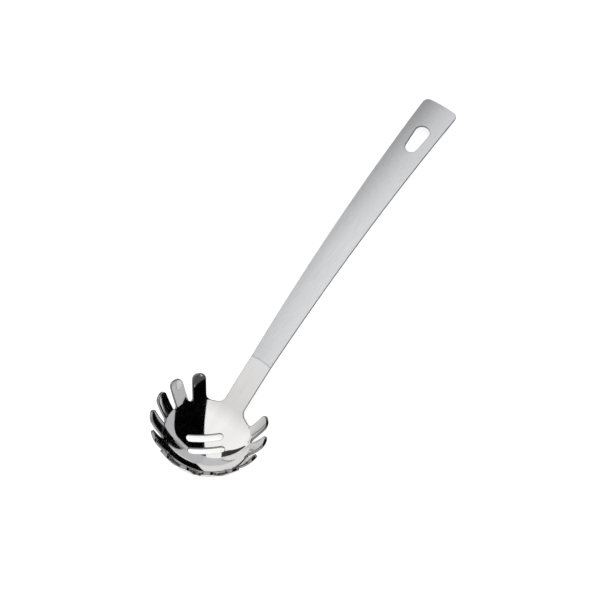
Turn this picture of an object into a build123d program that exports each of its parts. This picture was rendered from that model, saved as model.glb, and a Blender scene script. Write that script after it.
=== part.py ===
from build123d import *
import os
from math import acos, asin, atan, cos, degrees, radians, sin, tan

# Pasta server of stainless sheet, in millimetres and degrees.
# It lies on its back, as on a table: +X runs from the bowl to the handle's end, +Y is its left side
# and +Z is up. The origin is on the table, under the middle of the server.

# Sheet
sheet = 2.2                 # thickness of the metal everywhere
overrun = 6.0               # how far a cutting shape runs past the metal

# Bowl, drawn to a shallow sphere
bowl_radius = 46.8          # inside radius of the sphere
mouth_radius = 31.1         # inside radius where the bowl turns up into the tines
turn_radius = 3.0           # inside radius of that turn
wall_slope = 63.5           # slope of the tines above the plane of the mouth

# Tines, evenly spaced round the mouth, with the neck in the widest gap
tine_count = 12
first_tine_turn = 46.3      # angle from the neck to the tine next to it
tine_width = 10.0
tine_length = 19.1          # from the end of the turn to the tip
tine_corner = 4.3           # radius of the two corners of a tip
gap_depth = 2.0             # how far the round gap ends reach below the start of the wall
neck_gap_turn = 29.5        # angle from the neck to the middle of the wide gap beside it
neck_gap_width = 8.6        # the wide gap at its foot
neck_gap_corner = 3.6       # radius of its two lower corners

# Drain slots through the bottom
drain_length = 26.5
drain_width = 5.4
drain_spacing = 10.5        # between the slots' middle lines
drain_turn = -47.0          # the slots run across the server at this angle to the handle

# Neck and handle, one dished strip on a long arch
neck_rise = 13.5            # slope at which the strip leaves the bowl
arch_radius = 573.0         # radius of the arch, on the strip's upper face
neck_width = 17.0
neck_root_turn = 23.5       # angle from the neck's middle to where its side runs into the bowl's rim
end_width = 28.4
end_corner = 5.0
end_bulge = 1.6             # how far the end bows out in the middle

# Seam between the polished neck and the brushed handle
seam_reach = 39.6           # from the bowl's mouth, along the strip
seam_curve = 40.0           # radius of the seam, bowed towards the handle's end
weld_width = 1.2            # bead of weld metal, ground flush on both faces

# Hanging slot, wider towards the end
hang_from_end = 20.6        # from the handle's end to the slot's end
hang_length = 24.0
hang_width = 9.4            # across its narrow end
hang_end_width = 11.4       # across its wide end

# Angles that follow from the sizes above
cap_angle = degrees(asin(mouth_radius / bowl_radius))
bowl_tilt = cap_angle - neck_rise
tine_pitch = (360 - 2 * first_tine_turn) / (tine_count - 1)
back_radius = bowl_radius + sheet
reach = 2 * bowl_radius     # far enough to cut through any part of the bowl
arch_height = (bowl_radius + arch_radius) * cos(radians(neck_rise)) - back_radius
end_drop = degrees(acos(arch_height / (arch_radius - sheet)))

# Places along the arch, measured from the middle of the sphere
arch_reach = (bowl_radius + arch_radius) * sin(radians(neck_rise))
end_x = arch_reach + arch_radius * sin(radians(end_drop))
seam_turn = neck_rise - degrees(seam_reach / arch_radius)
seam_x = arch_reach - arch_radius * sin(radians(seam_turn))

# Foot and tip of the tines, in the bowl's own plane
wall_in = bowl_radius * sin(radians(cap_angle)) - turn_radius * sin(radians(cap_angle))
wall_up = (turn_radius - bowl_radius) * cos(radians(cap_angle))
foot_radius = wall_in + turn_radius * sin(radians(wall_slope))
foot_height = wall_up - turn_radius * cos(radians(wall_slope))
tip_radius = foot_radius + tine_length * cos(radians(wall_slope))

# The sphere touches the table, and the server is centred along X. Its foremost point is on the back
# of the front tines, at their foot, beside the gap between them.
out_radius = foot_radius + sheet * sin(radians(wall_slope))
out_height = foot_height - sheet * cos(radians(wall_slope))
front_turn = radians(tine_pitch / 2) - asin(tine_width / 2 / out_radius)
front_x = out_height * sin(radians(bowl_tilt)) - out_radius * cos(front_turn) * cos(radians(bowl_tilt))
bowl_x = -(end_x + end_bulge + front_x) / 2
centre = Vector(bowl_x, 0, back_radius)

tilt_x = Vector(cos(radians(bowl_tilt)), 0, -sin(radians(bowl_tilt)))
tilt_z = Vector(sin(radians(bowl_tilt)), 0, cos(radians(bowl_tilt)))
bowl = Plane(origin=centre, x_dir=tilt_x, z_dir=tilt_z)
mouth = Plane(origin=centre, x_dir=(0, 1, 0), z_dir=(cos(radians(neck_rise)), 0, sin(radians(neck_rise))))
bowl_axis = Axis(centre, tilt_z)
rim_way = Vector(sin(radians(cap_angle)), -cos(radians(cap_angle)))
rim_tangent = Vector(cos(radians(cap_angle)), sin(radians(cap_angle)))
seam_centre = Vector(bowl_x + seam_x - seam_curve, 0)
side_axis = Axis(centre, (0, 1, 0))
arch_axis = Axis((bowl_x + arch_reach, 0, -arch_height), (0, 1, 0))


def away(turn: float) -> Vector:
    """Direction out from the bowl's axis, at an angle round it from the neck."""
    return bowl.x_dir * cos(radians(turn)) + bowl.y_dir * sin(radians(turn))


def spoke_plane(turn: float) -> Plane:
    """Plane through the bowl's axis, with its X outwards at this angle and its Y up the axis."""
    return Plane(origin=centre, x_dir=away(turn), z_dir=away(turn - 90))


def wall_plane(turn: float) -> Plane:
    """Plane on the inside of the tines' wall at this angle, with its Y up the wall."""
    foot = centre + away(turn) * foot_radius + bowl.z_dir * foot_height
    outward = away(turn) * sin(radians(wall_slope)) - bowl.z_dir * cos(radians(wall_slope))
    return Plane(origin=foot, x_dir=away(turn + 90), z_dir=outward)


def gap_half(radius: float) -> float:
    """Half the width of the gap between two tines where the wall has this radius."""
    return radius * sin(radians(tine_pitch / 2)) - tine_width / 2


# Rim of the bowl where the neck's side leaves it, along the rim
rim_radius = (bowl_radius + back_radius) / 2
root = bowl.from_local_coords(Vector(rim_radius * sin(radians(cap_angle)) * cos(radians(neck_root_turn)),
                                     rim_radius * sin(radians(cap_angle)) * sin(radians(neck_root_turn)),
                                     -rim_radius * cos(radians(cap_angle))))
root_half = root.Y
root_lean = atan(tan(radians(neck_root_turn)) * cos(radians(bowl_tilt)))
neck_flare = (root_half - neck_width / 2) / (1 - sin(root_lean))

# Outline of neck and handle, seen from above
with BuildSketch() as blade_plan:
    with BuildLine():
        tongue = Line((bowl_x, 0), (root.X, root_half))
        flare = JernArc(tongue @ 1, (sin(root_lean), -cos(root_lean)), neck_flare, 90 - degrees(root_lean))
        straight = Line(flare @ 1, (bowl_x + seam_x, neck_width / 2))
        taper = Line(straight @ 1, (bowl_x + end_x, end_width / 2))
        mirror(about=Plane.XZ)
        ThreePointArc(taper @ 1, (bowl_x + end_x + end_bulge, 0), (bowl_x + end_x, -end_width / 2))
    make_face()
    fillet(blade_plan.vertices().group_by(Axis.X)[-1], end_corner)

# Dished strip along the arch, wider than neck and handle, from which both are cut
with BuildPart() as strip:
    with BuildSketch(mouth):
        Circle(back_radius)
        Circle(bowl_radius, mode=Mode.SUBTRACT)
        with Locations((0, -back_radius)):
            Rectangle(2 * root_half + overrun, bowl_radius, mode=Mode.INTERSECT)
    revolve(axis=arch_axis, revolution_arc=neck_rise + end_drop + degrees(overrun / arch_radius))

# Neck from the mouth of the bowl to the seam
with BuildPart() as neck_strip:
    add(strip.part)
    with BuildSketch():
        add(blade_plan.sketch)
        with Locations(seam_centre):
            Circle(seam_curve, mode=Mode.INTERSECT)
    extrude(amount=back_radius, mode=Mode.INTERSECT)

# Bowl and neck: a sphere's shell inside the rim, and past it towards the neck up to the mouth
with BuildPart() as dish:
    with BuildSketch(spoke_plane(180)):
        Polygon((0, 0), reach * rim_way, (0, -reach), align=None)
    revolve(axis=bowl_axis)
    with BuildSketch():
        add(blade_plan.sketch)
    extrude(amount=back_radius)

    # The shell swings back from the mouth
    with BuildSketch(mouth):
        Circle(back_radius)
        Circle(bowl_radius, mode=Mode.SUBTRACT)
        with Locations((0, -back_radius)):
            Rectangle(reach, reach, mode=Mode.INTERSECT)
    revolve(axis=side_axis, revolution_arc=180 - neck_rise, mode=Mode.INTERSECT)
    add(neck_strip.part)

# Head: bowl, tines and neck, pressed from one blank
with BuildPart() as head:
    # Turn and wall of the tines
    with BuildSketch(spoke_plane(180)):
        with BuildLine():
            turn_in = JernArc(bowl_radius * rim_way, rim_tangent,
                              turn_radius, wall_slope - cap_angle)
            wall_in_line = PolarLine(turn_in @ 1, tine_length, wall_slope)
            turn_out = JernArc(back_radius * rim_way, rim_tangent,
                               turn_radius + sheet, wall_slope - cap_angle)
            wall_out_line = PolarLine(turn_out @ 1, tine_length, wall_slope)
            Line(turn_in @ 0, turn_out @ 0)
            Line(wall_in_line @ 1, wall_out_line @ 1)
        make_face()
    revolve(axis=bowl_axis)

    # Gaps between the tines, which also round their tips
    for place in range(tine_count - 1):
        with BuildSketch(wall_plane(first_tine_turn + tine_pitch * (place + 1 / 2))):
            root_gap = gap_half(foot_radius)
            tip_gap = gap_half(tip_radius)
            with BuildLine():
                corner = JernArc((0, -gap_depth), (1, 0), root_gap, 90)
                edge = Line(corner @ 1, (tip_gap, tine_length - tine_corner))
                tip = JernArc(edge @ 1, (0, 1), tine_corner, -90)
                Polyline(tip @ 1, tip @ 1 + (0, overrun), (0, tine_length + overrun))
                mirror(about=Plane.YZ)
            make_face()
        extrude(amount=overrun, both=True, mode=Mode.SUBTRACT)

    # Wide gaps beside the neck, each with the near corner of its first tine's tip
    for hand in (1, -1):
        with BuildSketch(wall_plane(hand * neck_gap_turn)):
            tine_side = first_tine_turn - neck_gap_turn
            tip_side = tip_radius * sin(radians(tine_side)) - tine_width / 2
            with BuildLine():
                floor_line = Line((-hand * neck_gap_width, -gap_depth),
                                  (hand * (neck_gap_width / 2 - neck_gap_corner), -gap_depth))
                corner = JernArc(floor_line @ 1, (hand, 0), neck_gap_corner, hand * 90)
                edge = Line(corner @ 1, (hand * tip_side, tine_length - tine_corner))
                tip = JernArc(edge @ 1, (0, 1), tine_corner, -hand * 90)
                Polyline(tip @ 1, tip @ 1 + (0, overrun),
                         (-hand * neck_gap_width, tine_length + overrun), floor_line @ 0)
            make_face()
        extrude(amount=overrun, both=True, mode=Mode.SUBTRACT)

    # The wall stops where the neck leaves the bowl
    with BuildSketch(bowl):
        gap_side = reach * Vector(cos(radians(neck_gap_turn)), sin(radians(neck_gap_turn)))
        Polygon((0, 0), (gap_side.X, -gap_side.Y), gap_side, align=None)
    extrude(amount=-reach, mode=Mode.SUBTRACT)

    add(dish.part)

    # Drain slots
    with BuildSketch(bowl):
        with Locations(Rotation(0, 0, drain_turn)):
            with GridLocations(0, drain_spacing, 1, 2):
                SlotOverall(drain_length, drain_width)
    extrude(amount=-reach, mode=Mode.SUBTRACT)

# Weld bead between neck and handle, ground flush
with BuildPart() as weld_seam:
    add(strip.part)
    with BuildSketch():
        with Locations(seam_centre):
            Circle(seam_curve + weld_width)
            Circle(seam_curve, mode=Mode.SUBTRACT)
        add(blade_plan.sketch, mode=Mode.INTERSECT)
    extrude(amount=back_radius, mode=Mode.INTERSECT)

# Handle with its hanging slot
with BuildPart() as handle:
    add(strip.part)
    with BuildSketch():
        add(blade_plan.sketch)
        with Locations(seam_centre):
            Circle(seam_curve + weld_width, mode=Mode.SUBTRACT)
    extrude(amount=back_radius, mode=Mode.INTERSECT)
    with BuildSketch():
        wide_x = bowl_x + end_x - hang_from_end - hang_end_width / 2
        narrow_x = bowl_x + end_x - hang_from_end - hang_length + hang_width / 2
        with Locations((wide_x, 0)):
            Circle(hang_end_width / 2)
        with Locations((narrow_x, 0)):
            Circle(hang_width / 2)
        make_hull()
    extrude(amount=back_radius, mode=Mode.SUBTRACT)

os.makedirs("parts", exist_ok=True)
head.part.label = "head"
export_step(head.part, "parts/head.step")
weld_seam.part.label = "weld_seam"
export_step(weld_seam.part, "parts/weld_seam.step")
handle.part.label = "handle"
export_step(handle.part, "parts/handle.step")
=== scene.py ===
"""Dresses a packed pasta server: a mirror polished head, a flush weld and a satin handle.

Every surface is the inside face of one stainless sheet, worked out with numpy on grids, and its back
is that face moved along its normal by the sheet's thickness. Sizes are in millimetres and angles in
degrees until a mesh is made, and places are measured from the middle of the bowl's sphere.
"""
from __future__ import annotations

import logging
import math
from dataclasses import dataclass, replace
from enum import Enum

import bmesh
import bpy
import numpy as np
from mathutils import Matrix, Vector

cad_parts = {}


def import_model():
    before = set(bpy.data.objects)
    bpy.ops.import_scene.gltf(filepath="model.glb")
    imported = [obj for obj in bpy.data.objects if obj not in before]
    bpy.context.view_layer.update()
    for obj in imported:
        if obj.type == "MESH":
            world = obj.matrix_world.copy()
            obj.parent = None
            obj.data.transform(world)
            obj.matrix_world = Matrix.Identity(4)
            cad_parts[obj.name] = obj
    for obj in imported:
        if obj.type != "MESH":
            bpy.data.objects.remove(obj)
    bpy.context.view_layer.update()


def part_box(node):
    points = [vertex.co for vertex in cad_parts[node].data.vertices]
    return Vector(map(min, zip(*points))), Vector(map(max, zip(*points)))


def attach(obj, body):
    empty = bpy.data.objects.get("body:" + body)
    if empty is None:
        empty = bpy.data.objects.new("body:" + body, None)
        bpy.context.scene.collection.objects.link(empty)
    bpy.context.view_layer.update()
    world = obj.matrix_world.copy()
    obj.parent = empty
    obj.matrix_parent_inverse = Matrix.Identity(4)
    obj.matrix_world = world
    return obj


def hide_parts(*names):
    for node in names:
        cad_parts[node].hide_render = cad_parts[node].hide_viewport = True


LOG = logging.getLogger("pasta_server")
MM = 0.001
# Face mask of the sheet's edges and cut ends, which the materials paint dark as painted shade.
EDGE_SHADE_MASK = "edge_shade_mask"
WHITE = (1.0, 1.0, 1.0, 1.0)
NOISE_SPAN = {"From Min": 0.35, "From Max": 0.65}
PATCH_DETAIL = 3.0
GRAIN_DETAIL = 4.0
JOIN_DISTANCE = 0.002 * MM
SHARP_ANGLE = math.radians(40)
MIX_A, MIX_B, MIX_RESULT = 6, 7, 2
HANDS = np.array([[1.0, 1.0], [1.0, -1.0]])
MIRROR = HANDS[1]


@dataclass(frozen=True)
class SheetForm:
    """The pressed form of the sheet: a spherical bowl and a dished strip on a long arch.

    Attributes:
        bowl_radius: Inside radius of the bowl's sphere, and of the dish across neck and handle.
        thickness: Thickness of the sheet.
        mouth_radius: Inside radius where the bowl turns up into the tines.
        turn_radius: Inside radius of that turn.
        wall_slope: Slope of the tines above the plane of the mouth, halfway up.
        wall_bow: How much that slope grows from foot to tip.
        tine_length: Length of a tine from the end of the turn to its tip.
        neck_rise: Slope at which the strip leaves the bowl.
        arch_radius: Radius of the arch along the strip's upper face.
        end_bulge: How far the handle's end bows out in the middle.
    """

    bowl_radius: float = 46.8
    thickness: float = 2.2
    mouth_radius: float = 31.1
    turn_radius: float = 3.0
    wall_slope: float = 63.5
    wall_bow: float = 14.0
    tine_length: float = 19.1
    neck_rise: float = 13.5
    arch_radius: float = 573.0
    end_bulge: float = 1.6

    @property
    def cap(self) -> float:
        """Angle of the bowl's rim from its lowest point, in radians."""
        return math.asin(self.mouth_radius / self.bowl_radius)

    @property
    def tilt(self) -> float:
        """Angle by which the bowl tips back from level, in radians."""
        return self.cap - math.radians(self.neck_rise)

    @property
    def rim_way(self) -> float:
        """Way along the inside from the bowl's lowest point to its rim."""
        return self.bowl_radius * self.cap

    @property
    def foot_slope(self) -> float:
        """Slope of the tines at their foot, in radians."""
        return math.radians(self.wall_slope - self.wall_bow / 2)

    @property
    def foot_way(self) -> float:
        """Way along the inside to the foot of the tines' wall."""
        return self.rim_way + self.turn_radius * (self.foot_slope - self.cap)

    @property
    def tip_way(self) -> float:
        """Way along the inside to the tips of the tines."""
        return self.rim_way + self.turn_radius * (math.radians(self.wall_slope) - self.cap) + self.tine_length

    @property
    def wall_radius(self) -> float:
        """Radius of the tines' wall, seen from the side."""
        return (self.tip_way - self.foot_way) / math.radians(self.wall_bow)

    @property
    def arch_middle(self) -> tuple[float, float]:
        """Middle of the arch, along X and Z."""
        rise, reach = math.radians(self.neck_rise), self.bowl_radius + self.arch_radius
        return reach * math.sin(rise), -reach * math.cos(rise)

    @property
    def table(self) -> float:
        """Height of the table, along Z."""
        return -self.bowl_radius - self.thickness

    @property
    def end_x(self) -> float:
        """Where the handle's end touches the table, along X."""
        drop = math.acos((self.table - self.arch_middle[1]) / (self.arch_radius - self.thickness))
        return self.arch_middle[0] + self.arch_radius * math.sin(drop)

    @property
    def origin(self) -> Vector:
        """Middle of the bowl's sphere in the frame, in millimetres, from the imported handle's end."""
        handle_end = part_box("handle")[1][0] / MM
        return Vector((handle_end - self.end_x - self.end_bulge, 0.0, -self.table))

    def meridian(self, way: np.ndarray | float) -> tuple[np.ndarray, ...]:
        """Gives the section of bowl and tines.

        The way runs along a circle of the bowl's radius, then along a small circle tangent to it, then
        along a large circle tangent to that.

        Args:
            way: Way along the inside from the bowl's lowest point.

        Returns:
            Radius and height of the inside, and the radial and upward parts of its outward normal.
        """
        hub = self.bowl_radius - self.turn_radius
        on_turn = np.clip((way - self.rim_way) / self.turn_radius, 0.0, self.foot_slope - self.cap)
        angle = np.where(way < self.rim_way, way / self.bowl_radius, self.cap + on_turn)
        slope = angle + np.maximum(way - self.foot_way, 0.0) / self.wall_radius
        past_rim = way >= self.rim_way
        arm = np.where(past_rim, self.turn_radius, self.bowl_radius)
        radius = arm * np.sin(angle) + np.where(past_rim, hub * math.sin(self.cap), 0.0)
        height = -arm * np.cos(angle) - np.where(past_rim, hub * math.cos(self.cap), 0.0)
        radius = radius + self.wall_radius * (np.sin(slope) - np.sin(angle))
        height = height - self.wall_radius * (np.cos(slope) - np.cos(angle))
        return radius, height, np.sin(slope), -np.cos(slope)

    def ring_point(self, turn: np.ndarray | float, way: np.ndarray | float,
                   depth: np.ndarray | float) -> np.ndarray:
        """Gives a point of bowl and tines: the section turned round the bowl's tilted axis.

        Args:
            turn: Angle round the axis from the neck, in radians.
            way: Way along the inside from the bowl's lowest point.
            depth: Depth into the sheet from its inside.

        Returns:
            Points with X, Y and Z in the last axis.
        """
        radius, height, out, up = self.meridian(way)
        radius = radius + depth * out
        height = height + depth * up
        flat = radius * np.cos(turn)
        x = flat * math.cos(self.tilt) + height * math.sin(self.tilt)
        z = height * math.cos(self.tilt) - flat * math.sin(self.tilt)
        return np.stack([x, radius * np.sin(turn), z], axis=-1)

    def strip_point(self, places: np.ndarray, depth: np.ndarray | float,
                    square: np.ndarray | float = 0.0) -> np.ndarray:
        """Gives the points of neck and handle over places in plan.

        Across, the strip is a circle of the bowl's radius plus the depth. Up to the mouth that circle
        swings round the sphere's middle, and past it round the middle of the arch. So on the sphere
        z = -sqrt(lift^2 - x^2), and on the arch z = arch_z + sqrt(arm^2 - (x - arch_x)^2).

        Args:
            places: Places, with X and Y in the last axis.
            depth: Depth into the sheet.
            square: 1 where the place moves out with the depth, square to the sphere, and 0 where it
                stays, as under an upright side.

        Returns:
            Points with X, Y and Z in the last axis.
        """
        arch_x, arch_z = self.arch_middle
        grow = 1 + square * depth / self.bowl_radius
        x, y = places[..., 0] * grow, places[..., 1] * grow
        lift = np.sqrt((self.bowl_radius + depth) ** 2 - y ** 2)
        arm = self.arch_radius + self.bowl_radius - lift
        on_arch = x > lift * math.sin(math.radians(self.neck_rise))
        over_arch = arch_z + np.sqrt(np.maximum(arm ** 2 - (x - arch_x) ** 2, 0.0))
        in_ball = -np.sqrt(np.maximum(lift ** 2 - x ** 2, 0.0))
        z = np.maximum(np.where(on_arch, over_arch, in_ball), self.table)
        return np.stack([x, y, z], axis=-1)

    def plan_of_ring(self, turn: np.ndarray | float, way: np.ndarray | float) -> np.ndarray:
        """Gives the place in plan of a point of the bowl's inside, with X and Y in the last axis."""
        return self.ring_point(turn, way, 0.0)[..., :2]


@dataclass(frozen=True)
class Hem:
    """Section of a free edge: a quarter circle, the sheet's side, and another quarter circle.

    Attributes:
        radius: Radius of the rounding that grinding and tumbling leave.
        steps: Number of faces round each quarter.
    """

    radius: float = 0.35
    steps: int = 4

    def section(self, thickness: float) -> tuple[np.ndarray, np.ndarray]:
        """Gives the section's points from the inside face to the back.

        Args:
            thickness: Thickness of the sheet.

        Returns:
            How far each point lies out from the outline, and how deep in the sheet.
        """
        angle = np.linspace(0.0, math.pi / 2, self.steps + 1)
        upper, lower = self.radius * (1 - np.sin(angle)), self.radius * (1 - np.cos(angle))
        return -np.concatenate([upper, lower]), np.concatenate([lower, thickness - upper])


def patch(bottom: np.ndarray, top: np.ndarray, left: np.ndarray, right: np.ndarray) -> np.ndarray:
    """Fills four edges with a grid: the two blends of facing edges, less the blend of the corners.

    Args:
        bottom: Points of the first row.
        top: Points of the last row.
        left: First point of each row.
        right: Last point of each row.

    Returns:
        Grid of points, rows first.
    """
    up = np.linspace(0.0, 1.0, len(left))[:, None, None]
    over = np.linspace(0.0, 1.0, len(bottom))[None, :, None]
    rows = (1 - up) * bottom[None] + up * top[None]
    columns = (1 - over) * left[:, None] + over * right[:, None]
    first = (1 - over) * bottom[0] + over * bottom[-1]
    last = (1 - over) * top[0] + over * top[-1]
    return rows + columns - (1 - up) * first - up * last


def pair(x: np.ndarray | float, y: np.ndarray | float) -> np.ndarray:
    """Gives X and Y side by side in the last axis, each repeated to the other's shape."""
    return np.stack(np.broadcast_arrays(x, y), axis=-1)


def unit(angle: np.ndarray | float) -> np.ndarray:
    """Gives the unit vector in plan at each angle, in radians."""
    return pair(np.cos(angle), np.sin(angle))


def arc(middle: np.ndarray, radius: np.ndarray | float, start: float, end: float, count: int) -> np.ndarray:
    """Gives points of an arc from one angle to another, in radians."""
    return middle + radius * unit(np.linspace(start, end, count))


def slot_line(ends: np.ndarray, radii: tuple[float, float], grow: np.ndarray,
              cells: tuple[int, int]) -> np.ndarray:
    """Gives a slot's outline: round its first end, along, round its second end, and back.

    The sides touch both ends' arcs, so the first arc turns by 90 degrees and the sides' lean to each
    side of the slot's line, and the second by what is left of the circle.

    Args:
        ends: Middles of the two arcs.
        radii: Radii of the two arcs.
        grow: How far outside the slot each row lies.
        cells: Faces round an end, and along a side.

    Returns:
        Points of the closed outline, rows first.
    """
    away = ends[0] - ends[1]
    aim = math.atan2(away[1], away[0])
    half = math.pi / 2 + math.asin((radii[0] - radii[1]) / math.hypot(*away))
    arms = [(radius + grow)[:, None, None] for radius in radii]
    first = arc(ends[0], arms[0], aim - half, aim + half, cells[0] + 1)
    second = arc(ends[1], arms[1], aim + half, aim - half + 2 * math.pi, cells[0] + 1)
    step = np.linspace(0.0, 1.0, cells[1] + 1)[1:, None]
    there = first[:, -1:] + step * (second[:, :1] - first[:, -1:])
    back = second[:, -1:] + step * (first[:, :1] - second[:, -1:])
    return np.concatenate([first, there, second[:, 1:], back], axis=1)


def ring_between(inner: np.ndarray, outer: np.ndarray, cells: int, power: float = 1.0) -> np.ndarray:
    """Gives rows of points from one loop to another, the closer to the first the higher the power."""
    share = (np.linspace(0.0, 1.0, cells + 1) ** power)[:, None, None]
    return inner * (1 - share) + outer * share


def grid_faces(first: int, rows: int, columns: int) -> list[list[int]]:
    """Gives the four sided faces between points in rows and columns.

    Args:
        first: Number of the first point.
        rows: Number of rows.
        columns: Number of columns.

    Returns:
        The faces, as numbers of points.
    """
    index = first + np.arange(rows * columns).reshape(rows, columns)
    quads = np.stack([index[:-1, :-1], index[:-1, 1:], index[1:, 1:], index[1:, :-1]], axis=-1)
    return quads.reshape(-1, 4).tolist()


class Skin:
    """Collects grids of points and makes one closed mesh of them."""

    def __init__(self) -> None:
        """Starts an empty skin."""
        self._points: list[np.ndarray] = []
        self._faces: list[list[int]] = []
        self._edge_shade: list[float] = []
        self._count = 0

    def add_grid(self, grid: np.ndarray, ground: float = 0.0) -> None:
        """Adds the four sided faces between the points of a grid.

        Args:
            grid: Points in rows and columns, with X, Y and Z in the last axis.
            ground: 1 for a ground edge of the sheet, which the material paints dark as painted shade, 0 for its
                face or back.
        """
        quads = grid_faces(self._count, *grid.shape[:2])
        self._points.append(grid.reshape(-1, 3))
        self._faces.extend(quads)
        self._edge_shade.extend([ground] * len(quads))
        self._count += len(self._points[-1])

    def add_lid(self, loop: np.ndarray) -> None:
        """Adds one flat face, which counts as a ground edge and gets the painted edge shade.

        Args:
            loop: Points round it.
        """
        self._points.append(loop)
        self._faces.append(list(range(self._count, self._count + len(loop))))
        self._edge_shade.append(1.0)
        self._count += len(loop)

    def build(self, name: str, origin: Vector) -> bpy.types.Object:
        """Makes the mesh: joins what meets, turns the faces outwards and smooths them.

        Args:
            name: Name of the new object.
            origin: Middle of the bowl's sphere in the frame, in millimetres.

        Returns:
            The new object, at the origin, with its place in its mesh.
        """
        points = (np.concatenate(self._points) + np.asarray(origin)) * MM
        mesh = bpy.data.meshes.new(name)
        mesh.from_pydata(points.tolist(), [], self._faces)
        # Stores which faces are edges; the material paints these dark as painted shade.
        mesh.attributes.new(EDGE_SHADE_MASK, "FLOAT", "FACE").data.foreach_set("value", self._edge_shade)
        merged = bmesh.new()
        merged.from_mesh(mesh)
        bmesh.ops.remove_doubles(merged, verts=merged.verts, dist=JOIN_DISTANCE)
        bmesh.ops.recalc_face_normals(merged, faces=merged.faces)
        open_edges = sum(1 for edge in merged.edges if len(edge.link_faces) != 2)
        merged.to_mesh(mesh)
        merged.free()
        mesh.shade_smooth()
        mesh.set_sharp_from_angle(angle=SHARP_ANGLE)
        piece = bpy.data.objects.new(name, mesh)
        bpy.context.collection.objects.link(piece)
        LOG.info("%s: %d faces, %d open edges", name, len(mesh.polygons), open_edges)
        return piece


@dataclass
class TineSide:
    """One side of a tine's outline, from the line between two blanks to the flat of its tip.

    In the tine's own view X is the distance from its middle plane and Y the way along the sheet. The
    side runs up that line, along the gap's floor, round its corner, up the tine and round its tip.

    Attributes:
        form: Form of the sheet.
        hem: Section of its edges.
        gap_turn: Angle from the tine's middle to the middle of the gap, in degrees.
        stem_way: Way at which the tine's blank starts.
        half_width: Half the tine's width.
        tip_corner: Radius of the tip's corner.
        gap_corner: Largest radius of the gap's lower corner.
        counts: Faces up the line, round the floor, up the side and round the tip.
    """

    form: SheetForm
    hem: Hem
    gap_turn: float
    stem_way: float
    half_width: float = 5.0
    tip_corner: float = 4.3
    gap_corner: float = 3.6
    counts: tuple[int, int, int, int] = (2, 6, 18, 8)

    def spread(self, way: np.ndarray | float) -> np.ndarray:
        """Gives the distance of the gap's middle from the tine's middle plane at a way."""
        return self.form.meridian(way)[0] * math.sin(math.radians(self.gap_turn))

    def stem(self) -> np.ndarray:
        """Gives the points up the line between two blanks, the last one at the hem."""
        way = np.linspace(self.stem_way, self.form.rim_way - self.hem.radius, self.counts[0] + 1)
        return pair(self.spread(way), way)

    def outline(self) -> tuple[np.ndarray, np.ndarray, np.ndarray]:
        """Gives the free edge from the gap's floor to the flat of the tip.

        Returns:
            Its points, its outward normals, and how far each point keeps to the gap's middle, from 1 at
            the middle of the floor to 0 on the tine.
        """
        rim = self.form.rim_way
        middle = float(self.spread(rim))
        corner = min(self.gap_corner, middle - self.half_width)
        flat = middle - self.half_width - corner
        run = np.linspace(0.0, flat + corner * math.pi / 2, self.counts[1] + 1)
        angle = np.maximum(run - flat, 0.0) / corner
        floor_x = middle - np.minimum(run, flat) - corner * np.sin(angle)
        floor = pair(floor_x, rim + corner * (1 - np.cos(angle)))
        floor_out = pair(np.sin(angle), np.cos(angle))
        side_way = np.linspace(rim + corner, self.form.tip_way - self.tip_corner, self.counts[2] + 1)[1:]
        side = pair(self.half_width, side_way)
        side_out = np.tile([1.0, 0.0], (len(side), 1))
        tip_middle = np.array([self.half_width - self.tip_corner, self.form.tip_way - self.tip_corner])
        tip = arc(tip_middle, self.tip_corner, 0.0, math.pi / 2, self.counts[3] + 1)[1:]
        tip_out = (tip - tip_middle) / self.tip_corner
        keep = np.concatenate([1 - run / run[-1], np.zeros(len(side) + len(tip))])
        return np.concatenate([floor, side, tip]), np.concatenate([floor_out, side_out, tip_out]), keep

    def moved_out(self, out: np.ndarray | float) -> np.ndarray:
        """Gives the free edge moved out by a distance, with the floor's middle kept between the tines.

        Args:
            out: Distance away from the metal, negative into it, one or several.

        Returns:
            Points of the moved edge, one row for each distance where there are several.
        """
        points, normals, keep = self.outline()
        out = np.asarray(out)[..., None, None]
        moved = points + out * normals
        middle = self.spread(moved[..., 1]) - self.spread(points[:, 1])
        moved[..., 0] += keep * middle
        return moved


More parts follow.
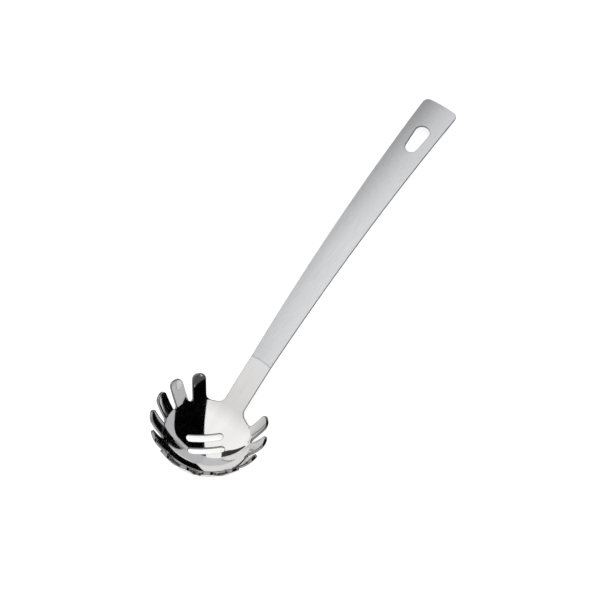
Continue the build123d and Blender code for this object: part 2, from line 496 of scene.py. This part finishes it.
@dataclass
class Head:
    """The polished head: bowl with drain slots, ring of tines, and neck up to the seam.

    Attributes:
        form: Form of the sheet.
        hem: Section of its edges.
        tine_count: Number of tines.
        first_turn: Angle from the neck to the tine next to it.
        neck_gap_turn: Angle from the neck to the middle of the gap beside it.
        leans: How much less steep the first tines stand, in degrees.
        root_turn: Angle at which the neck's side runs into the rim.
        neck_width: Width of the neck.
        drain_length: Length of a drain slot.
        drain_width: Width of a drain slot.
        drain_spacing: Distance between the slots' middle lines.
        drain_turn: Angle of the slots from the neck's direction.
        seam_reach: From the mouth to the seam, along the strip.
        seam_curve: Radius of the seam in plan.
        slot_frame: Half the length of the frame of faces round each slot.
        stem_drop: From the rim down to where the blanks of the tines and the neck start.
        tine_cells: Faces across a tine.
        neck_cells: Faces across the neck.
        neck_counts: Faces up the blank, round the gap's floor, round the flare and along the side.
        drain_cells: Faces round a slot's end, and along its side.
        frame_cells: Faces from a slot to its frame.
        frame_power: How much smaller those are near the slot.
        ring_cells: Faces from the frames to the blanks.
    """

    form: SheetForm
    hem: Hem
    tine_count: int = 12
    first_turn: float = 46.3
    neck_gap_turn: float = 29.5
    leans: tuple[float, ...] = (8.5, 9.5)
    root_turn: float = 23.5
    neck_width: float = 17.0
    drain_length: float = 26.5
    drain_width: float = 5.4
    drain_spacing: float = 10.5
    drain_turn: float = -47.0
    seam_reach: float = 39.6
    seam_curve: float = 40.0
    slot_frame: float = 17.0
    stem_drop: float = 1.6
    tine_cells: int = 10
    neck_cells: int = 24
    neck_counts: tuple[int, int, int, int] = (2, 4, 12, 30)
    drain_cells: tuple[int, int] = (12, 48)
    frame_cells: int = 6
    frame_power: float = 1.3
    ring_cells: int = 16

    @property
    def stem_way(self) -> float:
        """Way at which the blanks of the tines and the neck start, just inside the rim."""
        return self.form.rim_way - self.stem_drop

    @property
    def pitch(self) -> float:
        """Angle between two tines."""
        return (360 - 2 * self.first_turn) / (self.tine_count - 1)

    @property
    def seam_x(self) -> float:
        """Where the seam crosses the middle of the strip, along X."""
        turn = math.radians(self.form.neck_rise) - self.seam_reach / self.form.arch_radius
        return self.form.arch_middle[0] - self.form.arch_radius * math.sin(turn)

    def seam_at(self, y: np.ndarray | float) -> np.ndarray:
        """Gives the seam's place along X: an arc bowed towards the handle's end."""
        return self.seam_x - self.seam_curve + np.sqrt(self.seam_curve ** 2 - y ** 2)

    def build(self) -> bpy.types.Object:
        """Builds the head.

        Returns:
            The head's object.
        """
        skin = Skin()
        turns = [self._neck(skin)]
        turns += [self._tine(skin, number) for number in range(self.tine_count)]
        self._bowl(skin, np.concatenate([turn[:-1] for turn in turns]))
        return skin.build("polished_head", self.form.origin)

    def _tine(self, skin: Skin, number: int) -> np.ndarray:
        """Adds one tine with its part of the rim.

        Args:
            skin: Skin that takes the grids.
            number: Number of the tine, from the neck's left side round.

        Returns:
            The angles at which its blank meets the bowl, in radians.
        """
        middle = math.radians(self.first_turn + number * self.pitch)
        wide = self.first_turn - self.neck_gap_turn
        lean = self.leans[number] if number < len(self.leans) else 0.0
        form = replace(self.form, wall_slope=self.form.wall_slope - lean)
        near, far = (TineSide(form, self.hem, wide if number == end else self.pitch / 2, self.stem_way)
                     for end in (0, self.tine_count - 1))

        def turn_of(places: np.ndarray) -> np.ndarray:
            """Gives the angle round the axis of places in the tine's view: its middle + asin(x / radius)."""
            return middle + np.arcsin(places[..., 0] / form.meridian(places[..., 1])[0])

        left = np.concatenate([near.stem(), near.moved_out(-self.hem.radius)[1:]]) * -MIRROR
        right = np.concatenate([far.stem(), far.moved_out(-self.hem.radius)[1:]])
        share = np.linspace(0.0, 1.0, self.tine_cells + 1)[:, None]
        bottom = left[0] + share * (right[0] - left[0])
        top = left[-1] + share * (right[-1] - left[-1])
        places = patch(bottom, top, left, right)
        turn = turn_of(places)
        for depth in (0.0, form.thickness):
            skin.add_grid(form.ring_point(turn, places[..., 1], depth))

        out, deep = self.hem.section(form.thickness)
        near_edge, far_edge = near.moved_out(out) * -MIRROR, far.moved_out(out)
        tip = near_edge[:, -1:] + share[1:-1] * (far_edge[:, -1:] - near_edge[:, -1:])
        edge = np.concatenate([near_edge, tip, far_edge[:, ::-1]], axis=1)
        skin.add_grid(form.ring_point(turn_of(edge), edge[..., 1], deep[:, None]), 1.0)
        return turn[0]

    def _neck(self, skin: Skin) -> np.ndarray:
        """Adds the neck, from the rim's blank to the seam.

        Args:
            skin: Skin that takes the grids.

        Returns:
            The angles at which its blank meets the bowl, in radians.
        """
        form = self.form
        half = self.neck_width / 2
        gap = math.radians(self.neck_gap_turn)
        root = math.radians(self.root_turn)
        stem_cells, floor_cells, flare_cells, side_cells = self.neck_counts
        stem_way = np.linspace(self.stem_way, form.rim_way - self.hem.radius, stem_cells + 1)
        stem = form.plan_of_ring(gap, stem_way)
        out, deep = self.hem.section(form.thickness)

        floor_turn = np.linspace(gap, root, floor_cells + 1)
        start = form.plan_of_ring(root, form.rim_way)
        lean = math.atan(math.tan(root) * math.cos(form.tilt))
        flare = (start[1] - half) / (1 - math.sin(lean))
        flare_middle = start + flare * unit(lean)
        flare_line = arc(flare_middle, flare, math.pi + lean, 1.5 * math.pi, flare_cells + 1)[1:]
        flare_out = (flare_middle - flare_line) / flare
        side = pair(np.linspace(flare_middle[0], self.seam_at(half), side_cells + 1)[1:], half)
        side_out = np.tile([0.0, 1.0], (len(side), 1))
        line = np.concatenate([flare_line, side])
        line_out = np.concatenate([flare_out, side_out])

        def moved_out(away: np.ndarray) -> np.ndarray:
            """Gives the neck's side moved out by each distance in a column, rows first."""
            floor = form.plan_of_ring(floor_turn, form.rim_way + away)
            return np.concatenate([floor, line + away[..., None] * line_out], axis=1)

        inner = moved_out(np.array([[-self.hem.radius]]))[0]
        left = np.concatenate([stem, inner[1:]])
        right = left * MIRROR
        turn = np.linspace(gap, -gap, self.neck_cells + 1)
        bottom = form.plan_of_ring(turn, self.stem_way)
        share = np.linspace(1.0, -1.0, self.neck_cells + 1)
        top = pair(self.seam_at(share * half), share * left[-1, 1])
        rows = patch(bottom, top, left, right)
        sides = np.concatenate([np.ones(len(floor_turn)), np.linspace(1.0, 0.0, flare_cells),
                                np.zeros(side_cells)])
        square = np.concatenate([np.ones(len(stem) - 1), sides])[:, None]
        for depth in (0.0, form.thickness):
            skin.add_grid(form.strip_point(rows, depth, square))

        edge = moved_out(out[:, None])
        for hand in HANDS:
            skin.add_grid(form.strip_point(edge * hand, deep[:, None], sides), 1.0)
        skin.add_lid(section_loop(form, top, edge[:, -1], deep))
        return turn[::-1]

    def _bowl(self, skin: Skin, turns: np.ndarray) -> None:
        """Adds the bowl: a ring round each drain slot, and one from both of them to the blanks.

        Args:
            skin: Skin that takes the grids.
            turns: Angles at which the blanks meet the bowl, in radians, once round.
        """
        radius = self.drain_width / 2
        reach = self.drain_length / 2 - radius
        half = self.drain_spacing / 2
        out, deep = self.hem.section(self.form.thickness)
        slot = np.array([[reach, half], [-reach, half]]), (radius, radius)
        inner = slot_line(*slot, np.array([self.hem.radius]), self.drain_cells)[0]
        edge = slot_line(*slot, -out, self.drain_cells)

        arcs, sides = self.drain_cells
        up = np.linspace(0.0, self.drain_spacing, arcs + 1)
        along = np.linspace(self.slot_frame, -self.slot_frame, sides + 1)[1:]
        frame = np.concatenate([pair(self.slot_frame, up), pair(along, self.drain_spacing),
                                pair(-self.slot_frame, up[::-1][1:]), pair(-along, 0.0)])
        ring = ring_between(inner, frame, self.frame_cells, self.frame_power)
        for side in (1.0, -1.0):
            for depth in (0.0, self.form.thickness):
                skin.add_grid(self._bowl_point(ring * side, depth))
            skin.add_grid(self._bowl_point(edge * side, deep[:, None]), 1.0)

        outer_half = frame[:2 * arcs + sides]
        outer = np.concatenate([outer_half, -outer_half])
        radius = float(self.form.meridian(self.stem_way)[0])
        circle = radius * unit(turns - math.radians(self.drain_turn))
        start = int(np.argmin(np.hypot(*(circle - [radius, 0.0]).T)))
        ring = ring_between(outer, np.roll(circle, -start, axis=0), self.ring_cells)
        ring = np.concatenate([ring, ring[:, :1]], axis=1)
        for depth in (0.0, self.form.thickness):
            skin.add_grid(self._bowl_point(ring, depth))

    def _bowl_point(self, places: np.ndarray, depth: np.ndarray | float) -> np.ndarray:
        """Gives points of the bowl from places on the plane of its mouth: way = radius of bowl * asin(share).

        Args:
            places: Places, with X along the slots and Y across them in the last axis.
            depth: Depth into the sheet.

        Returns:
            Points with X, Y and Z in the last axis.
        """
        radius = np.hypot(places[..., 0], places[..., 1])
        turn = np.arctan2(places[..., 1], places[..., 0]) + math.radians(self.drain_turn)
        way = self.form.bowl_radius * np.arcsin(radius / self.form.bowl_radius)
        return self.form.ring_point(turn, way, depth)


def section_loop(form: SheetForm, row: np.ndarray, edge: np.ndarray, deep: np.ndarray,
                 dip: float = 0.0) -> np.ndarray:
    """Gives the loop round a cut across the strip, to close the mesh there.

    Args:
        form: Form of the sheet.
        row: Places of the cut's row on the face, from +Y to -Y, between the hems.
        edge: Places of the hem's section at the cut, on the +Y side.
        deep: Depths of that section in the sheet.
        dip: How far the piece's faces lie under the sheet's faces.

    Returns:
        Points of the loop.
    """
    face, back = (form.strip_point(row[1:-1], depth) for depth in (dip, form.thickness - dip))
    left, right = (form.strip_point(edge * hand, deep) for hand in HANDS)
    return np.concatenate([face, right, back[::-1], left[::-1]])


@dataclass
class WeldSeam:
    """The bead of weld between neck and handle, ground flush.

    Attributes:
        head: The head, which gives the form, the neck's width and the seam.
        width: Width of the bead along the strip.
        dip: How far its faces lie under the sheet's faces.
        cells: Faces across the strip.
        cells_along: Faces along it.
    """

    head: Head
    width: float = 1.2
    dip: float = 0.02
    cells: int = 24
    cells_along: int = 3

    def build(self) -> bpy.types.Object:
        """Builds the bead.

        Returns:
            The bead's object.
        """
        form, hem = self.head.form, self.head.hem
        half = self.head.neck_width / 2
        skin = Skin()
        share = np.linspace(1.0, -1.0, self.cells + 1)
        along = np.linspace(0.0, self.width, self.cells_along + 1)[:, None]
        out, deep = hem.section(form.thickness - 2 * self.dip)
        out, deep = out[:, None], self.dip + deep
        x = self.head.seam_at(share * half) + along
        places = pair(x, share * (half - hem.radius))
        for depth in (self.dip, form.thickness - self.dip):
            skin.add_grid(form.strip_point(places, depth))
        edge = pair(x[:, :1].T, half + out)
        for hand in HANDS:
            skin.add_grid(form.strip_point(edge * hand, deep[:, None]), 1.0)
        for row in (0, -1):
            skin.add_lid(section_loop(form, places[row], edge[:, row], deep, self.dip))
        return skin.build("flush_weld", form.origin)


@dataclass
class Handle:
    """The satin handle: a dished strip that widens to its bowed end, with a hanging slot.

    Attributes:
        head: The head, which gives the form, the neck's width and the seam.
        start_gap: From the seam to the handle, the width of the weld.
        end_width: Width at the end.
        end_corner: Radius of the end's corners.
        slot_from_end: From the end to the slot.
        slot_length: Length of the slot.
        slot_width: Width across the slot's narrow end.
        slot_end_width: Width across its wide end.
        slot_margin: How far the ring of faces round the slot reaches past it.
        cells: Faces across the handle, and round each end of the slot.
        counts: Faces along the side up to the slot's ring, beside it, and on to the corner.
        corner_cells: Faces round the corner.
        ring_cells: Faces from the slot to its ring's outside.
        ring_power: How much smaller those are near the slot.
    """

    head: Head
    start_gap: float = 1.2
    end_width: float = 28.4
    end_corner: float = 5.0
    slot_from_end: float = 20.6
    slot_length: float = 24.0
    slot_width: float = 9.4
    slot_end_width: float = 11.4
    slot_margin: float = 7.0
    cells: int = 24
    counts: tuple[int, int, int] = (96, 36, 6)
    corner_cells: int = 12
    ring_cells: int = 10
    ring_power: float = 1.2

    @property
    def form(self) -> SheetForm:
        """Form of the sheet."""
        return self.head.form

    @property
    def taper(self) -> float:
        """Angle of the handle's sides from its middle line, in radians."""
        run = self.form.end_x - self.head.seam_x
        return math.atan((self.end_width - self.head.neck_width) / 2 / run)

    def side_at(self, x: np.ndarray) -> np.ndarray:
        """Gives half the handle's width at a place: a straight taper from the neck's width."""
        return self.head.neck_width / 2 + (x - self.head.seam_x) * math.tan(self.taper)

    def end_outline(self) -> tuple[np.ndarray, np.ndarray, float, float, float]:
        """Finds the corner between the tapered side and the bowed end.

        Returns:
            Middle of the corner's arc, middle of the end's arc, its radius, and the corner's first and
            last angle in radians.
        """
        bulge = self.form.end_bulge
        radius = (self.end_width ** 2 / 4 + bulge ** 2) / (2 * bulge)
        end_middle = np.array([self.form.end_x + bulge - radius, 0.0])
        along = unit(self.taper)
        base = np.array([self.head.seam_x, self.head.neck_width / 2])
        base = base + self.end_corner * np.array([along[1], -along[0]])
        offset = base - end_middle
        room = (offset @ along) ** 2 - offset @ offset + (radius - self.end_corner) ** 2
        corner = base + (math.sqrt(room) - offset @ along) * along
        last = math.atan2(corner[1], corner[0] - end_middle[0])
        return corner, end_middle, radius, math.pi / 2 + self.taper, last

    def build(self) -> bpy.types.Object:
        """Builds the handle.

        Returns:
            The handle's object.
        """
        skin = Skin()
        form, hem = self.form, self.head.hem
        out, deep = hem.section(form.thickness)
        narrow, wide = self.slot_width / 2, self.slot_end_width / 2
        wide_x = form.end_x - self.slot_from_end - wide
        narrow_x = form.end_x - self.slot_from_end - self.slot_length + narrow
        front_x = narrow_x - narrow - self.slot_margin
        back_x = wide_x + wide + self.slot_margin

        share = np.linspace(1.0, -1.0, self.cells + 1)
        corner, end_middle, end_radius, first, last = self.end_outline()
        side_out = np.array([-math.sin(self.taper), math.cos(self.taper)])
        half_start = self.head.neck_width / 2
        start_x = self.head.seam_at(half_start) + self.start_gap
        to_ring, beside, to_corner = self.counts
        far = to_ring + beside
        corner_x = float(corner[0] + self.end_corner * side_out[0])
        side_x = np.concatenate([np.linspace(start_x, front_x, to_ring + 1),
                                 np.linspace(front_x, back_x, beside + 1)[1:],
                                 np.linspace(back_x, corner_x, to_corner + 1)[1:]])
        side = pair(side_x, self.side_at(side_x))
        bend = arc(corner, self.end_corner, first, last, self.corner_cells + 1)[1:]
        bend_out = (bend - corner) / self.end_corner
        line = np.concatenate([side, bend])
        normals = np.concatenate([np.tile(side_out, (len(side), 1)), bend_out])
        normals[0] = [0.0, 1.0]
        inner = line - hem.radius * normals
        first_row = pair(self.head.seam_at(share * half_start) + self.start_gap, share * inner[0, 1])
        front_row, back_row = (pair(inner[place, 0], share * inner[place, 1]) for place in (to_ring, far))
        end_turn = math.atan2(bend[-1, 1], bend[-1, 0] - end_middle[0])
        end_row = arc(end_middle, end_radius - hem.radius, end_turn, -end_turn, self.cells + 1)
        front_side, back_side = inner[:to_ring + 1], inner[far:]
        self._faces(skin, patch(first_row, front_row, front_side, front_side * MIRROR))
        self._faces(skin, patch(back_row, end_row, back_side, back_side * MIRROR))

        edge = line[None] + out[:, None, None] * normals[None]
        end_arm = (end_radius + out)[:, None, None]
        end_edge = arc(end_middle, end_arm, end_turn, -end_turn, self.cells + 1)
        path = np.concatenate([edge, end_edge[:, 1:-1], edge[:, ::-1] * MIRROR], axis=1)
        skin.add_grid(form.strip_point(path, deep[:, None]), 1.0)
        skin.add_lid(section_loop(form, first_row, edge[:, 0], deep))

        high_side = inner[to_ring:far + 1]
        low_side = high_side * MIRROR
        frame = np.concatenate([front_row, low_side[1:], back_row[::-1][1:], high_side[::-1][1:]])
        slot = np.array([[narrow_x, 0.0], [wide_x, 0.0]]), (narrow, wide)
        cells = self.cells, beside
        inside = slot_line(*slot, np.array([hem.radius]), cells)[0]
        self._faces(skin, ring_between(inside, frame, self.ring_cells, self.ring_power))
        skin.add_grid(form.strip_point(slot_line(*slot, -out, cells), deep[:, None]), 1.0)
        return skin.build("satin_handle", form.origin)

    def _faces(self, skin: Skin, grid: np.ndarray) -> None:
        """Adds the face and the back of a grid of places."""
        for depth in (0.0, self.form.thickness):
            skin.add_grid(self.form.strip_point(grid, depth))


def add_node(tree: bpy.types.NodeTree, kind: str, values: dict | None = None) -> bpy.types.Node:
    """Adds a node to a material.

    Args:
        tree: Node tree of the material.
        kind: Kind of node.
        values: Constants of its inputs, by name or number.

    Returns:
        The node.
    """
    node = tree.nodes.new(kind)
    for socket, value in (values or {}).items():
        node.inputs[socket].default_value = value
    return node


def stage(name: str, points: list, faces: list, tone: float) -> bpy.types.Object:
    """Builds one thing of the set, with a matt material.

    Args:
        name: Name of the thing and of its material.
        points: Points of its mesh, in metres.
        faces: Its faces, as numbers of points.
        tone: How light its colour is.

    Returns:
        The thing, with the material's shader as the node named Principled BSDF.
    """
    mesh = bpy.data.meshes.new(name)
    mesh.from_pydata(points, [], faces)
    thing = bpy.data.objects.new(name, mesh)
    bpy.context.collection.objects.link(thing)
    material = bpy.data.materials.new(name)
    material.use_nodes = True
    shader = material.node_tree.nodes["Principled BSDF"]
    shader.inputs["Base Color"].default_value = (tone, tone, tone, 1.0)
    shader.inputs["Roughness"].default_value = 1.0
    shader.inputs["Specular IOR Level"].default_value = 0.0
    mesh.materials.append(material)
    return thing


class Finish(Enum):
    """The finishes of the server."""

    POLISHED = "polished_steel"
    WELD = "weld_steel"
    SATIN = "satin_steel"


@dataclass(frozen=True)
class Steel:
    """A stainless steel finish.

    Attributes:
        dark: Colour of the metal in the grain's hollows.
        light: Its colour on the grain's crests.
        edge: Painted shade on the ground edges: a dark colour that stands in for the dark reflections they
            show.
        roughness: Lowest and highest roughness.
        patch_scale: Number of the roughness's patches in a metre.
        grain: Stretch of the grain along X, Y and Z.
        grain_depth: Depth of the grain, in metres.
        grain_strength: Strength of the grain.
    """

    dark: tuple[float, float, float]
    light: tuple[float, float, float]
    edge: tuple[float, float, float]
    roughness: tuple[float, float]
    patch_scale: float
    grain: tuple[float, float, float]
    grain_depth: float
    grain_strength: float

    def material(self, name: str) -> bpy.types.Material:
        """Makes the material.

        Args:
            name: Name of the material.

        Returns:
            The material.
        """
        material = bpy.data.materials.new(name)
        material.use_nodes = True
        tree = material.node_tree
        tree.nodes.clear()
        output = add_node(tree, "ShaderNodeOutputMaterial")
        shader = add_node(tree, "ShaderNodeBsdfPrincipled", {"Metallic": 1.0})
        place = add_node(tree, "ShaderNodeTexCoord")
        patches = add_node(tree, "ShaderNodeTexNoise", {"Scale": self.patch_scale, "Detail": PATCH_DETAIL})
        span = add_node(tree, "ShaderNodeMapRange",
                        NOISE_SPAN | {"To Min": self.roughness[0], "To Max": self.roughness[1]})
        stretch = add_node(tree, "ShaderNodeMapping", {"Scale": self.grain})
        grain = add_node(tree, "ShaderNodeTexNoise", {"Scale": 1.0, "Detail": GRAIN_DETAIL})
        bump = add_node(tree, "ShaderNodeBump", {"Strength": self.grain_strength, "Distance": self.grain_depth})
        streak = add_node(tree, "ShaderNodeMapRange", NOISE_SPAN)
        # Reads the mask of edge faces, where the painted edge shade goes.
        ground = add_node(tree, "ShaderNodeAttribute")
        ground.attribute_name = EDGE_SHADE_MASK
        tone = add_node(tree, "ShaderNodeMix", {MIX_A: (*self.dark, 1.0), MIX_B: (*self.light, 1.0)})
        # Mixes in the painted edge shade, dark grey wherever the mask marks an edge.
        edge_shade_mix = add_node(tree, "ShaderNodeMix", {MIX_B: (*self.edge, 1.0)})
        tone.data_type = edge_shade_mix.data_type = "RGBA"
        for start, end in (
            (place.outputs["Object"], patches.inputs["Vector"]),
            (patches.outputs["Fac"], span.inputs["Value"]),
            (span.outputs["Result"], shader.inputs["Roughness"]),
            (place.outputs["Object"], stretch.inputs["Vector"]),
            (stretch.outputs["Vector"], grain.inputs["Vector"]),
            (grain.outputs["Fac"], bump.inputs["Height"]),
            (bump.outputs["Normal"], shader.inputs["Normal"]),
            (grain.outputs["Fac"], streak.inputs["Value"]),
            (streak.outputs["Result"], tone.inputs[0]),
            (tone.outputs[MIX_RESULT], edge_shade_mix.inputs[MIX_A]),
            (ground.outputs["Fac"], edge_shade_mix.inputs[0]),
            (edge_shade_mix.outputs[MIX_RESULT], shader.inputs["Base Color"]),
            (shader.outputs["BSDF"], output.inputs["Surface"]),
        ):
            tree.links.new(start, end)
        return material


# Painted shade: the dark grey on the sheet's edges stands in for the dark reflections that their sides show.
PAINTED_EDGE_SHADE = (0.30, 0.30, 0.31)
STEELS = {
    Finish.POLISHED: Steel(dark=(0.775, 0.77, 0.765), light=(0.815, 0.81, 0.80), edge=PAINTED_EDGE_SHADE,
                           roughness=(0.04, 0.07), patch_scale=60.0, grain=(22.0, 160.0, 160.0),
                           grain_depth=0.00001, grain_strength=0.02),
    Finish.WELD: Steel(dark=(0.56, 0.56, 0.57), light=(0.66, 0.66, 0.665), edge=PAINTED_EDGE_SHADE,
                       roughness=(0.30, 0.36), patch_scale=400.0, grain=(900.0, 900.0, 900.0),
                       grain_depth=0.00001, grain_strength=0.1),
    # The satin's edges get the same painted shade, a little lighter.
    Finish.SATIN: Steel(dark=(0.76, 0.762, 0.782), light=(0.83, 0.832, 0.842), edge=(0.32, 0.32, 0.33),
                        roughness=(0.56, 0.62), patch_scale=12.0, grain=(70.0, 2400.0, 2400.0),
                        grain_depth=0.00006, grain_strength=0.7),
}


@dataclass(frozen=True)
class Cloth:
    """A cloth that only the metal sees: on a sphere round the bowl, and on the floor inside that.

    Directions are in degrees from +X, and angles in degrees from straight up.

    Attributes:
        name: Name of the cloth.
        tone: How bright the metal sees it.
        span: First and last direction.
        columns: Number of columns of points.
        top: Directions, and the angle of its upper edge in each.
        low: Directions, and the angle of its lower edge in each.
        light_edge: Where the soft light overhead ends just above the cloth, the distance of its straight
            edge from the point above the bowl, as a share of its height, and the direction square to it.
        reach: From the bowl to the cloth, in metres.
        rows: Number of rows of points.
        lift: Height over the floor, in metres.
        tint: Colour of the light that it sends to the metal.
    """

    name: str
    tone: float
    span: tuple[float, float]
    columns: int
    top: tuple[tuple[float, float], ...]
    low: tuple[tuple[float, float], ...]
    light_edge: tuple[float, float] | None = None
    reach: float = 3.0
    rows: int = 17
    lift: float = 0.001
    tint: tuple[float, float, float] = (1.0, 0.99, 1.02)

    def grid(self, middle: Vector) -> np.ndarray:
        """Works out its points from direction and angle; the light's edge is at tan(angle) = share / cos(turn).

        Args:
            middle: Middle of the bowl, in metres.

        Returns:
            Grid of points, rows first.
        """
        turn = np.linspace(*self.span, self.columns)
        top = np.interp(turn, *np.array(self.top).T)
        low = np.interp(turn, *np.array(self.low).T)
        if self.light_edge:
            away = np.cos(np.radians(turn - self.light_edge[1]))
            top = np.minimum(np.degrees(np.arctan2(self.light_edge[0], np.maximum(away, 0.01))), low)
        zenith = np.radians(top + np.linspace(0.0, 1.0, self.rows)[:, None] * (low - top))
        way = np.radians(turn) + 0 * zenith
        aim = np.stack([np.sin(zenith) * np.cos(way), np.sin(zenith) * np.sin(way), np.cos(zenith)], axis=-1)
        to_floor = (middle.z - self.lift) / np.maximum(-aim[..., 2:], 1e-6)
        return np.minimum(self.reach, to_floor) * aim + np.asarray(middle)

    def build(self, middle: Vector) -> None:
        """Builds the cloth.

        Args:
            middle: Middle of the bowl, in metres.
        """
        grid = self.grid(middle)
        quads = grid_faces(0, *grid.shape[:2])
        cloth = stage(self.name, grid.reshape(-1, 3).tolist(), quads, 0.0)
        shader = cloth.data.materials[0].node_tree.nodes["Principled BSDF"]
        shader.inputs["Emission Color"].default_value = (*self.tint, 1.0)
        shader.inputs["Emission Strength"].default_value = self.tone
        cloth.visible_camera = cloth.visible_diffuse = cloth.visible_shadow = False


SCREEN_SPAN = (-128.0, 27.0)
SCREEN_FOOT = ((-128.0, 66.0), (-100.0, 68.0), (-80.0, 73.0), (-57.0, 77.5), (-43.0, 79.8), (-35.0, 82.7),
               (-26.0, 85.3), (-20.0, 86.0), (-12.0, 83.5), (0.0, 82.0))
FLOOR_END = ((0.0, 110.0),)
CLOTHS = (
    Cloth("dark_screen", 0.0, SCREEN_SPAN, 63, SCREEN_FOOT, SCREEN_FOOT, light_edge=(0.41, -60.0)),
    Cloth("grey_cloth", 0.56, SCREEN_SPAN, 63, SCREEN_FOOT, FLOOR_END),
    Cloth("charcoal_cloth", 0.085, (-145.0, -108.0), 17, SCREEN_FOOT, ((0.0, 85.0),), reach=2.97),
    Cloth("pale_cloth", 0.64, (27.0, 140.0), 31, ((0.0, 84.0),), FLOOR_END),
    Cloth("dark_card", 0.04, (45.0, 76.0), 17, ((54.0, 69.5), (76.0, 79.5)), ((0.0, 82.5),)),
)


@dataclass(frozen=True)
class Studio:
    """Floor, soft light and the camera at the photograph's angle.

    Attributes:
        right: The view's direction to the right.
        up: The view's direction up.
        rim_offset: Middle of the bowl's rim from the middle of its sphere, in millimetres.
        rim_in_view: Where that point stands in the view, right and up of its middle, in millimetres.
        distance: From the camera to that point along the line of sight, in millimetres.
        lens: Focal length.
        sensor: Width of the sensor.
        sky: Strength of the light from the bowl's far side and from everywhere else.
        sky_fall: Where the one passes into the other, as the X part of its direction.
        floor_half: Half the floor's side, in metres.
        floor_tone: How light the floor's colour is.
        floor_lift: Strength that the floor gains in the camera's eye, and in reflections.
        cloths: What the metal sees beside the bowl.
    """

    right: tuple[float, float, float] = (0.566, -0.813, -0.133)
    up: tuple[float, float, float] = (0.813, 0.526, 0.248)
    rim_offset: tuple[float, float, float] = (-17.0, 0.0, -31.8)
    rim_in_view: tuple[float, float] = (-66.36, -97.4)
    distance: float = 1100.0
    lens: float = 92.7
    sensor: float = 36.0
    sky: tuple[float, float] = (0.75, 1.08)
    sky_fall: tuple[float, float] = (-0.5, 0.1)
    floor_half: float = 6.0
    floor_tone: float = 0.92
    floor_lift: tuple[float, float] = (0.42, 0.10)
    cloths: tuple[Cloth, ...] = CLOTHS

    def build(self, form: SheetForm) -> None:
        """Sets up floor, world, cloths and camera.

        Args:
            form: Form of the sheet, which gives the bowl's place.
        """
        self._floor()
        self._world()
        for cloth in self.cloths:
            cloth.build((form.origin + Vector(self.rim_offset)) * MM)
        self._camera(form)

    def _camera(self, form: SheetForm) -> None:
        """Places the camera so that the bowl's rim stands where the photograph has it.

        Args:
            form: Form of the sheet, which gives the bowl's place.
        """
        right = Vector(self.right).normalized()
        up = Vector(self.up)
        up = (up - right * up.dot(right)).normalized()
        toward = right.cross(up)
        rim = form.origin + Vector(self.rim_offset)
        place = rim - right * self.rim_in_view[0] - up * self.rim_in_view[1] + toward * self.distance
        data = bpy.data.cameras.new("camera")
        data.lens = self.lens
        data.sensor_width = self.sensor
        data.sensor_fit = "HORIZONTAL"
        data.clip_start = 0.01
        camera = bpy.data.objects.new("camera", data)
        turn = Matrix((right, up, toward)).transposed().to_4x4()
        camera.matrix_world = Matrix.Translation(place * MM) @ turn
        bpy.context.collection.objects.link(camera)
        bpy.context.scene.camera = camera

    def _floor(self) -> None:
        """Lays a pale floor that keeps the shadow, and that the camera sees as white."""
        half = self.floor_half
        corners = [(-half, -half, 0.0), (half, -half, 0.0), (half, half, 0.0), (-half, half, 0.0)]
        floor = stage("floor", corners, [(0, 1, 2, 3)], self.floor_tone)
        tree = floor.data.materials[0].node_tree
        shader = tree.nodes["Principled BSDF"]
        shader.inputs["Emission Color"].default_value = WHITE
        path = add_node(tree, "ShaderNodeLightPath")
        metal = add_node(tree, "ShaderNodeMath")
        metal.operation = "MAXIMUM"
        tree.links.new(path.outputs["Is Glossy Ray"], metal.inputs[0])
        tree.links.new(path.outputs["Is Transmission Ray"], metal.inputs[1])
        lift = add_node(tree, "ShaderNodeMath")
        lift.operation = "MAXIMUM"
        for place, seen in enumerate((path.outputs["Is Camera Ray"], metal.outputs["Value"])):
            share = add_node(tree, "ShaderNodeMath", {1: self.floor_lift[place]})
            share.operation = "MULTIPLY"
            tree.links.new(seen, share.inputs[0])
            tree.links.new(share.outputs["Value"], lift.inputs[place])
        tree.links.new(lift.outputs["Value"], shader.inputs["Emission Strength"])

    def _world(self) -> None:
        """Lights the object softly from all round, a little less from the bowl's far side."""
        world = bpy.data.worlds.new("studio")
        bpy.context.scene.world = world
        world.use_nodes = True
        tree = world.node_tree
        background = tree.nodes["Background"]
        background.inputs["Color"].default_value = WHITE
        place = add_node(tree, "ShaderNodeTexCoord")
        split = add_node(tree, "ShaderNodeSeparateXYZ")
        fall = add_node(tree, "ShaderNodeMapRange", {"From Min": self.sky_fall[0], "From Max": self.sky_fall[1],
                                                     "To Min": self.sky[0], "To Max": self.sky[1]})
        tree.links.new(place.outputs["Generated"], split.inputs["Vector"])
        tree.links.new(split.outputs["X"], fall.inputs["Value"])
        tree.links.new(fall.outputs["Result"], background.inputs["Strength"])


def main() -> None:
    """Builds and dresses the pieces, and sets up the studio."""
    logging.basicConfig(level=logging.INFO, format="%(name)s: %(message)s")
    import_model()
    form = SheetForm()
    head = Head(form, Hem())
    seam = WeldSeam(head)
    handle = Handle(head)
    for part, node, finish in ((head, "head", Finish.POLISHED), (seam, "weld_seam", Finish.WELD),
                               (handle, "handle", Finish.SATIN)):
        piece = part.build()
        piece.data.materials.append(STEELS[finish].material(finish.value))
        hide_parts(node)
        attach(piece, "root")
        LOG.info("%s stands for %s", piece.name, node)
    Studio().build(form)
    bpy.context.scene.view_settings.view_transform = "Standard"


if __name__ == "__main__":
    main()
